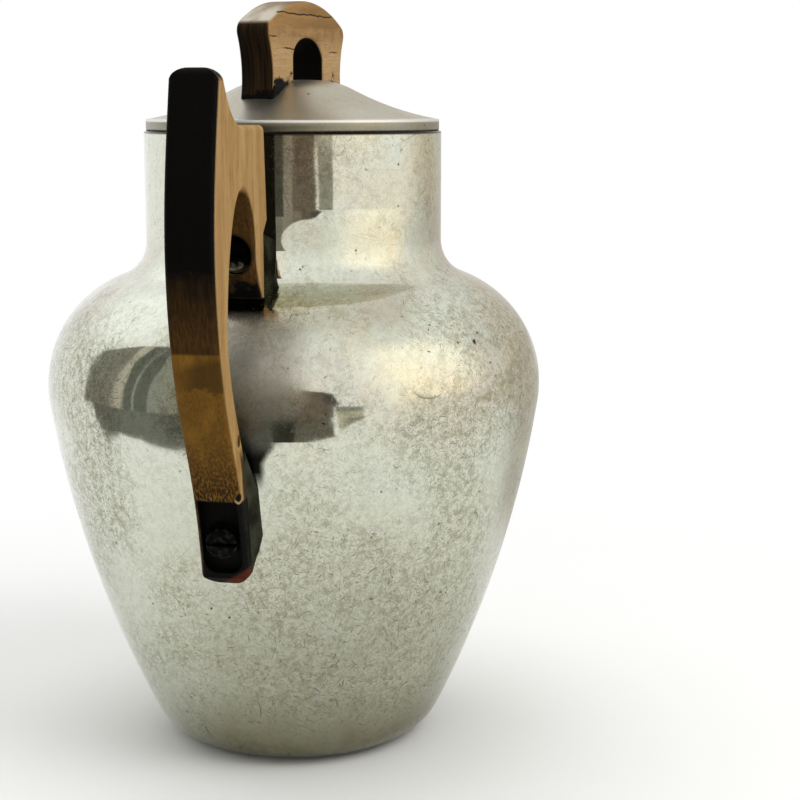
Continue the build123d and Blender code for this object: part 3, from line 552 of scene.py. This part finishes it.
# Lower handle screw and washer: the same kind of screw, in the recess of the charred tip.
# Both are black with soot, and only worn spots on the head give a dull glint.
made, tree, coords = new_material("sooted_turned_steel")
soot = add(tree, "TexNoise", {"Vector": coords["Object"], "Scale": 1 / STEEL_SPOT, "Detail": 4.0})[0]
soot = add(tree, "MapRange", {0: soot, 1: 0.48, 2: 0.68})[0]
colour = add(tree, "Mix", {0: soot, 6: linear("#060505"), 7: linear("#22211D")}, data_type="RGBA")[2]
rough = add(tree, "MapRange", {0: soot, 3: 0.70, 4: 0.42})[0]
shader = add(tree, "BsdfPrincipled", {
    "Base Color": colour, "Roughness": rough, "Metallic": 0.8, "Specular IOR Level": 0.2})
add(tree, "OutputMaterial", {"Surface": shader[0]})
for node in ("lower_handle_screw", "lower_screw_washer"):
    dress(node, made)

# Lid: a low hollow cone of the same sheet with a thick rolled edge, and a locating ring inside it.
# It was scoured more often than the pot, so it is satin rather than mirror bright.
LID_ROLL = 0.2197
satin_aluminium = worn_aluminium(
    "scoured_sheet_aluminium", bright="#BEBBAC", cream="#BCB29C", rosy="#B6ADA0",
    polish=0.36, haze=0.48, scratched=0.4, rolled=LID_ROLL)
for node in ("lid_shell", "lid_locating_ring"):
    dress(node, satin_aluminium)

# Knob: a short piece of the same wood on edge, grain level, with an arched opening, screwed from inside the lid.
# Its flat faces are tan and its ends dark with handling. Steam has charred its feet, and the inside of the
# arch is black.
KNOB_TURN = math.radians(11.0)
KNOB_SMEAR_SIZE = 0.005
KNOB_SMEAR = 0.003
RING_WIDTH = 0.0009
RING_LENGTH = 0.020
PALE_LOWER_PART = (0.2440, 0.2530)
BLEACHED_END = (-0.010, -0.024)
CHARRED_FEET = (0.2362, 0.2346)
ARCH_HALF = 0.0122
ARCH_TOP = 0.2500
# Drying cracks: height, start and end, and how they thin out at their edges and ends
CRACKS = (
    (0.2573, -0.030, 0.026), (0.2492, -0.031, -0.023), (0.2455, -0.021, -0.008), (0.2452, 0.016, 0.025))
CRACK_EDGES = (0.00012, 0.00036)
CRACK_FADE = 0.003
made, tree, coords = new_material("oiled_walnut_knob")
turned = add(tree, "VectorRotate", {
    "Vector": coords["Object"], "Angle": KNOB_TURN}, rotation_type="Z_AXIS")[0]
facing = add(tree, "VectorRotate", {
    "Vector": coords["Normal"], "Angle": KNOB_TURN}, rotation_type="Z_AXIS")[0]
axes = add(tree, "SeparateXYZ", {0: turned})
facing = add(tree, "SeparateXYZ", {0: facing})
fibre, pores, streak = wood_grain(tree, turned, (0, 1, 1), (1, 0, 0))
smear = add(tree, "TexNoise", {
    "Vector": turned, "Scale": 1 / KNOB_SMEAR_SIZE, "Detail": 4.0, "Roughness": 0.65})[0]
smear = add(tree, "MapRange", {0: smear, 1: 0.3, 2: 0.7, 3: -KNOB_SMEAR, 4: KNOB_SMEAR})[0]
fuzzy = add(tree, "Math", {0: axes["Z"], 1: smear}, operation="ADD")[0]
high = add(tree, "MapRange", {0: fuzzy, 1: PALE_LOWER_PART[0], 2: PALE_LOWER_PART[1]})[0]
high_tan = add(tree, "Mix", {0: streak, 6: linear("#86653A"), 7: linear("#A07A48")}, data_type="RGBA")[2]
low_tan = add(tree, "Mix", {0: fibre, 6: linear("#AC8A5C"), 7: linear("#BE9C6E")}, data_type="RGBA")[2]
tan = add(tree, "Mix", {0: high, 6: low_tan, 7: high_tan}, data_type="RGBA")[2]
pore_shade = add(tree, "Math", {0: pores, 1: 0.30}, operation="MULTIPLY")[0]
tan = add(tree, "Mix", {0: pore_shade, 6: tan, 7: linear("#5E4120")}, data_type="RGBA")[2]

# Its top is bleached at one end
upward = add(tree, "MapRange", {0: facing["Z"], 1: 0.45, 2: 0.85})[0]
bleached = add(tree, "MapRange", {0: axes["X"], 1: BLEACHED_END[0], 2: BLEACHED_END[1]})[0]
bleached = add(tree, "Mix", {0: bleached, 6: linear("#86704C"), 7: linear("#C2B9A8")}, data_type="RGBA")[2]
rubbed = add(tree, "Math", {0: streak, 1: 0.45}, operation="MULTIPLY")[0]
bleached = add(tree, "Mix", {0: rubbed, 6: bleached, 7: linear("#5C482A")}, data_type="RGBA")[2]
tan = add(tree, "Mix", {0: upward, 6: tan, 7: bleached}, data_type="RGBA")[2]

# A drying crack along the grain above the arch, and short ones beside it
waved = add(tree, "Math", {0: smear, 1: 0.12, 2: axes["Z"]}, operation="MULTIPLY_ADD")[0]
front = add(tree, "Math", {0: facing["Y"], 1: -0.3}, operation="LESS_THAN")[0]
for height, start, end in CRACKS:
    off = add(tree, "Math", {0: waved, 1: height}, operation="SUBTRACT")[0]
    off = add(tree, "Math", {0: off}, operation="ABSOLUTE")[0]
    crack = add(tree, "MapRange", {0: off, 1: CRACK_EDGES[0], 2: CRACK_EDGES[1], 3: 1.0, 4: 0.0})[0]
    begun = add(tree, "MapRange", {0: axes["X"], 1: start, 2: start + CRACK_FADE})[0]
    ended = add(tree, "MapRange", {0: axes["X"], 1: end - CRACK_FADE, 2: end, 3: 1.0, 4: 0.0})[0]
    for limit in (begun, ended, front):
        crack = add(tree, "Math", {0: crack, 1: limit}, operation="MULTIPLY")[0]
    tan = add(tree, "Mix", {0: crack, 6: tan, 7: linear("#2A1408")}, data_type="RGBA")[2]

# Its ends show the rings of the end grain
endward = add(tree, "Math", {0: facing["X"]}, operation="ABSOLUTE")[0]
endward = add(tree, "MapRange", {0: endward, 1: 0.55, 2: 0.85})[0]
ring_scale = (1 / RING_LENGTH, 1 / RING_WIDTH, 1 / RING_LENGTH)
rings = add(tree, "VectorMath", {0: turned, 1: ring_scale}, operation="MULTIPLY")[0]
rings = add(tree, "TexNoise", {"Vector": rings, "Scale": 1.0, "Detail": 3.0})[0]
rings = add(tree, "MapRange", {0: rings, 1: 0.35, 2: 0.65})[0]
dark_end = add(tree, "Mix", {0: rings, 6: linear("#0C0702"), 7: linear("#2E1E09")}, data_type="RGBA")[2]
colour = add(tree, "Mix", {0: endward, 6: tan, 7: dark_end}, data_type="RGBA")[2]

# Its feet are charred, and the inside of the arch is black
feet = add(tree, "Math", {0: endward, 1: 0.0045, 2: fuzzy}, operation="MULTIPLY_ADD")[0]
feet = add(tree, "MapRange", {0: feet, 1: CHARRED_FEET[0], 2: CHARRED_FEET[1]})[0]
span = add(tree, "Math", {0: axes["X"]}, operation="ABSOLUTE")[0]
in_arch = add(tree, "Math", {0: span, 1: ARCH_HALF}, operation="LESS_THAN")[0]
under = add(tree, "Math", {0: axes["Z"], 1: ARCH_TOP}, operation="LESS_THAN")[0]
inner = add(tree, "Math", {0: facing["Y"]}, operation="ABSOLUTE")[0]
inner = add(tree, "MapRange", {0: inner, 1: 0.75, 2: 0.45})[0]
for limit in (in_arch, under):
    inner = add(tree, "Math", {0: inner, 1: limit}, operation="MULTIPLY")[0]
for black_mask in (feet, inner):
    colour = add(tree, "Mix", {0: black_mask, 6: colour, 7: linear("#060403")}, data_type="RGBA")[2]
rough = add(tree, "MapRange", {0: fibre, 3: 0.50, 4: 0.66})[0]
height = add(tree, "Math", {0: pores, 1: -1.0, 2: fibre}, operation="MULTIPLY_ADD")[0]
relief = add(tree, "Bump", {"Strength": 0.30, "Distance": GRAIN_DEPTH, "Height": height})[0]
shader = add(tree, "BsdfPrincipled", {
    "Base Color": colour, "Roughness": rough, "Normal": relief, "IOR": OILED_WOOD_IOR,
    "Specular IOR Level": OILED_WOOD_GLOSS})
add(tree, "OutputMaterial", {"Surface": shader[0]})
dress("lid_knob", made)

# Knob screws and washers: two slotted screws inside the lid, up into the knob's feet.
# Steam has browned the steel all over.
TARNISH_SPOT = 0.0024
made, tree, coords = new_material("tarnished_turned_steel")
spots = add(tree, "TexNoise", {"Vector": coords["Object"], "Scale": 1 / TARNISH_SPOT, "Detail": 4.0})[0]
spots = add(tree, "MapRange", {0: spots, 1: 0.42, 2: 0.6})[0]
colour = add(tree, "Mix", {0: spots, 6: linear("#6B675B"), 7: linear("#3A342A")}, data_type="RGBA")[2]
rough = add(tree, "MapRange", {0: spots, 3: 0.38, 4: 0.62})[0]
shader = add(tree, "BsdfPrincipled", {"Base Color": colour, "Roughness": rough, "Metallic": 1.0})
add(tree, "OutputMaterial", {"Surface": shader[0]})
for node in ("knob_screws", "knob_screw_washers"):
    dress(node, made)

# Floor: a broad sheet of white paper that the pot stands on. It isn't part of the pot.
# It keeps the pot's soft shadow, and fades to plain white further out.
FLOOR_HALF = 3.0
PAPER_NEAR = 0.14
PAPER_FAR = 0.42


def flat_piece(name, corners, faces, material):
    """A piece of the studio: a sheet that isn't part of the pot."""
    mesh = bpy.data.meshes.new(name)
    mesh.from_pydata(corners, [], faces)
    mesh.materials.append(material)
    made = bpy.data.objects.new(name, mesh)
    bpy.context.scene.collection.objects.link(made)
    return made


def seen_directly(tree):
    """One for rays from the camera and for those that metal or glass passes on to it."""
    path = add(tree, "LightPath")
    seen = add(tree, "Math", {0: path["Is Camera Ray"], 1: path["Is Glossy Ray"]}, operation="MAXIMUM")[0]
    return add(tree, "Math", {0: seen, 1: path["Is Transmission Ray"]}, operation="MAXIMUM")[0]


made, tree, coords = new_material("white_paper")
out = add(tree, "VectorMath", {0: coords["Object"]}, operation="LENGTH")["Value"]
far = add(tree, "MapRange", {0: out, 1: PAPER_NEAR, 2: PAPER_FAR}, interpolation_type=SMOOTH)[0]
far = add(tree, "Math", {0: far, 1: seen_directly(tree)}, operation="MULTIPLY")[0]
paper = add(tree, "BsdfDiffuse", {"Color": linear("#FAFAF8")})[0]
white = add(tree, "Emission", {"Color": linear("#FFFFFF"), "Strength": 1.0})[0]
shader = add(tree, "MixShader", {0: far, 1: paper, 2: white})
add(tree, "OutputMaterial", {"Surface": shader[0]})
corners = [(x * FLOOR_HALF, y * FLOOR_HALF, 0) for x, y in ((-1, -1), (1, -1), (1, 1), (-1, 1))]
flat_piece("paper_floor", corners, [(0, 1, 2, 3)], made)

# Studio light: a white room at a plain level, which shows as plain white.
# Two soft square lamps, one in front and one above, give the wood its modelling.
ROOM_LEVEL = 0.65
LAMP_TARGET = (0.0, 0.0, 0.12)
# Lamps: name, size, power and place
LAMPS = (("soft_key", 0.9, 9.0, (-0.5, -1.1, 1.2)), ("soft_top", 1.2, 7.0, (0.1, 0.3, 1.6)))
world = bpy.data.worlds.new("white_room")
bpy.context.scene.world = world
world.use_nodes = True
tree = world.node_tree
tree.nodes.clear()
strength = add(tree, "MapRange", {0: seen_directly(tree), 3: ROOM_LEVEL, 4: 1.0})[0]
room = add(tree, "Background", {"Color": linear("#FFFFFF"), "Strength": strength})
add(tree, "OutputWorld", {"Surface": room[0]})
for name, size, power, place in LAMPS:
    light = bpy.data.lights.new(name, "AREA")
    light.size = size
    light.energy = power
    lamp = bpy.data.objects.new(name, light)
    bpy.context.scene.collection.objects.link(lamp)
    lamp.location = place
    aim = [t - p for t, p in zip(LAMP_TARGET, place)]
    rise = math.atan2(aim[2], math.hypot(aim[0], aim[1]))
    lamp.rotation_euler = (math.pi / 2 + rise, 0.0, math.atan2(aim[1], aim[0]) - math.pi / 2)
    # The metal mirrors the cards below, not the lamps themselves
    lamp.visible_camera = False
    lamp.visible_glossy = False

# Cards: grey sheets round the pot that only its mirror finish sees. They stand in for the room behind the
# camera: some stand round the pot, some lie on the floor before it. They light nothing and cast no shadow.
CARD_DISTANCE = 1.2
FLOOR_CARD_HEIGHT = 0.0006
GLINT_HEIGHT = 0.0010
# Standing cards: angles of start and end, height of the bottom and of the top there, grey, share of the distance
CARDS = (
    (88, 108, 0.001, 0.60, 1.05, "#8E8D85", 1.0),
    (108, 113, 0.001, 1.05, 1.15, "#C4C0B3", 1.0),
    (113, 119, 0.001, 1.15, 1.25, "#6C6E68", 1.0),
    (119, 120, 0.001, 1.25, 1.27, "#A3A49C", 1.0),
    (120, 127, 0.001, 1.27, 1.40, "#6C6E68", 1.0),
    (127, 145, 0.001, 1.40, 1.70, "#989A92", 1.0),
    (145, 186, 0.001, 1.70, 0.76, "#84817A", 1.0),
    (172, 187.5, 0.001, 0.42, 0.42, "#4F4F49", 0.99),
    (186, 194, 0.001, 0.76, 0.60, "#9A9288", 1.0),
    (194, 213, 0.001, 0.26, 0.26, "#786C63", 1.0),
    (194, 200, 0.26, 0.60, 0.53, "#8A8174", 1.0),
    (200, 207, 0.26, 0.53, 0.50, "#756B62", 1.0),
    (207, 211, 0.26, 0.50, 0.45, "#5C5653", 1.0),
    (211, 215.5, 0.24, 0.45, 0.25, "#55565A", 0.995),
    (210.8, 213, 0.001, 0.20, 0.20, "#FFFFFF", 0.99),
    (213, 224, 0.12, 0.21, 0.20, "#95968E", 1.0),
    (213, 224, 0.001, 0.12, 0.12, "#CFCBBC", 1.0),
    (283, 303, 0.001, 0.10, 0.10, "#E3E0D9", 1.0),
    (303, 348, 0.001, 0.10, 0.10, "#D6D2C9", 1.0),
    (348, 362, 0.001, 0.10, 0.10, "#E3E0D9", 1.0),
    (362, 376, 0.001, 0.10, 0.10, "#F0EEEA", 1.0),
)
# Dark floor in front of the paper: points of its near edge, with the angle of its far edge at each
FRONT_EDGE = (
    ((-0.863, -0.834), 224), ((-0.560, -0.453), 219), ((-0.479, -0.361), 217), ((-0.426, -0.298), 215),
    ((-0.377, -0.245), 213), ((-0.339, -0.203), 211), ((-0.321, -0.078), 194), ((-0.296, -0.010), 182),
    ((-0.292, 0.110), 160), ((-0.236, 0.205), 140), ((-0.199, 0.272), 124), ((-0.150, 0.325), 110),
    ((-0.095, 0.338), 94))
FRONT_GREYS = (
    "#78776E", "#A09C8F", "#BDB7A5", "#DAD4C0", "#EAE6DA", "#6E6A61", "#3C3B34", "#55554E", "#6C6D66", "#7A7B74",
    "#7B7C75", "#75766F")
FRONT_REACH = 1.3 * CARD_DISTANCE
GLINT_TURNS = (209.6, 213.4)
GLINT_REACH = (0.40, 0.99 * CARD_DISTANCE)


def plain_grey(name, grey):
    """The even grey of a sheet of card."""
    made, tree, coords = new_material(name)
    shine = add(tree, "Emission", {"Color": linear(grey), "Strength": 1.0})
    add(tree, "OutputMaterial", {"Surface": shine[0]})
    return made


def polar(turn, reach, height):
    """A point at an angle round the pot, in degrees, and a distance from its axis."""
    turn = math.radians(turn)
    return reach * math.cos(turn), reach * math.sin(turn), height


def card(name, corners, material):
    """A strip of card from pairs of corners, which shows in polished metal alone."""
    faces = [(k, k + 2, k + 3, k + 1) for k in range(0, len(corners) - 2, 2)]
    made = flat_piece(name, corners, faces, material)
    for ray in ("camera", "diffuse", "shadow", "transmission"):
        setattr(made, "visible_" + ray, False)


def bent_card(name, start, end, bottom, start_top, end_top, distance, material):
    """A card that stands round the pot at an even distance."""
    steps = max(1, round((end - start) / 3))
    corners = []
    for step in range(steps + 1):
        turn = start + (end - start) * step / steps
        top = start_top + (end_top - start_top) * step / steps
        corners += [polar(turn, distance, bottom), polar(turn, distance, top)]
    card(name, corners, material)


for number, (start, end, bottom, start_top, end_top, grey, share) in enumerate(CARDS):
    name = f"card_{number}"
    bent_card(name, start, end, bottom, start_top, end_top, share * CARD_DISTANCE, plain_grey(name, grey))
for number, grey in enumerate(FRONT_GREYS):
    corners = []
    for (x, y), turn in FRONT_EDGE[number:number + 2]:
        corners += [(x, y, FLOOR_CARD_HEIGHT), polar(turn, FRONT_REACH, FLOOR_CARD_HEIGHT)]
    name = f"front_card_{number}"
    card(name, corners, plain_grey(name, grey))
corners = [polar(turn, reach, GLINT_HEIGHT) for turn in GLINT_TURNS for reach in GLINT_REACH]
card("floor_glint", corners, plain_grey("floor_glint", "#FFFFFF"))

# Windows: two soft windows that the metal mirrors, and a grey wall beyond the right one with the floor before it.
# The wall fades upwards, towards the window and towards the pot. Like the cards, they light nothing.
# Windows: angle of the middle, spread, height of the middle, rise, tint and strength
WINDOWS = ((-101.0, 44.0, 0.82, 1.08, "#FFFBF1", 1.40), (70.0, 46.0, 1.30, 0.90, "#FBFDFF", 1.26))
WINDOW_SILL = ("Z", 0.16, 0.22, 0.0, 1.0)
WALL = (
    ("turn", math.radians(-77), math.radians(-40), 0.0, 1.0, SMOOTH),
    ("turn", math.radians(-10), math.radians(35), 1.0, 0.0, SMOOTH),
    ("reach", 0.12, 0.30, 0.0, 1.0, SMOOTH), ("Z", 0.10, 1.30, 1.0, 0.0))
WALL_GREY = "#CECAC1"
WALL_FOOT = 0.05
# Sheets that they are on: name, angles of start and end, heights of bottom and top, share of the distance
WINDOW_SHEETS = (("right_wall", 218, 396, 0.10, 1.95, 1.01), ("left_window", 24, 118, 0.40, 2.20, 1.02))
FLOOR_START = 283
FLOOR_STEPS = 38
FLOOR_STEP = 3
FLOOR_REACH = (0.12, CARD_DISTANCE)
made, tree, coords = new_material("windows_and_wall")
values = dict(add(tree, "SeparateXYZ", {0: coords["Object"]}).items())
values["turn"] = add(tree, "Math", {0: values["Y"], 1: values["X"]}, operation="ARCTAN2")[0]
level = add(tree, "CombineXYZ", {"X": values["X"], "Y": values["Y"]})[0]
values["reach"] = add(tree, "VectorMath", {0: level}, operation="LENGTH")["Value"]
colour = linear("#FFFFFF")
power = 1.0
for middle, spread, height, rise, tint, strength in WINDOWS:
    aside = add(tree, "Math", {0: values["turn"], 1: math.radians(middle)}, operation="SUBTRACT")[0]
    aside = add(tree, "Math", {0: aside, 1: 1 / math.radians(spread)}, operation="MULTIPLY")[0]
    above = add(tree, "Math", {0: values["Z"], 1: height}, operation="SUBTRACT")[0]
    above = add(tree, "Math", {0: above, 1: 1 / rise}, operation="MULTIPLY")[0]
    offset = add(tree, "CombineXYZ", {"X": aside, "Y": above})[0]
    values["offset"] = add(tree, "VectorMath", {0: offset}, operation="LENGTH")["Value"]
    light = region(tree, values, (("offset", 1.0, 0.3, 0.0, 1.0, SMOOTH), WINDOW_SILL))
    colour = add(tree, "Mix", {0: light, 6: colour, 7: linear(tint)}, data_type="RGBA")[2]
    power = add(tree, "Math", {0: light, 1: strength - 1.0, 2: power}, operation="MULTIPLY_ADD")[0]
wall = region(tree, values, WALL)
colour = add(tree, "Mix", {0: wall, 6: colour, 7: linear(WALL_GREY)}, data_type="RGBA")[2]
power = add(tree, "Mix", {0: wall, 2: power, 3: 1.0})[0]
standing = add(tree, "Math", {0: values["Z"], 1: WALL_FOOT}, operation="GREATER_THAN")[0]
standing = add(tree, "Math", {0: standing, 1: wall}, operation="MAXIMUM")[0]
clear = add(tree, "BsdfTransparent")[0]
shine = add(tree, "Emission", {"Color": colour, "Strength": power})[0]
shader = add(tree, "MixShader", {0: standing, 1: clear, 2: shine})
add(tree, "OutputMaterial", {"Surface": shader[0]})
for name, start, end, bottom, top, share in WINDOW_SHEETS:
    bent_card(name, start, end, bottom, top, top, share * CARD_DISTANCE, made)
corners = []
for step in range(FLOOR_STEPS):
    turn = FLOOR_START + FLOOR_STEP * step
    corners += [polar(turn, reach, FLOOR_CARD_HEIGHT) for reach in FLOOR_REACH]
card("right_floor", corners, made)

# Camera: it looks at the handle's side from a little above the shoulder, with a long lens.
# Its place, heading and dip are those from which the pot was measured.
CAMERA_PLACE = (-0.58705, -0.15730, 0.22657)
CAMERA_HEADING = 11.45
CAMERA_DIP = 9.85
CAMERA_SENSOR = 36.0
CAMERA_LENS = 76.5
camera = bpy.data.objects.new("camera", bpy.data.cameras.new("camera"))
bpy.context.scene.collection.objects.link(camera)
camera.data.sensor_width = CAMERA_SENSOR
camera.data.lens = CAMERA_LENS
camera.data.clip_start = 0.01
camera.location = CAMERA_PLACE
camera.rotation_euler = (math.radians(90 - CAMERA_DIP), 0.0, math.radians(CAMERA_HEADING - 90))
bpy.context.scene.camera = camera
bpy.context.scene.view_settings.view_transform = "Standard"
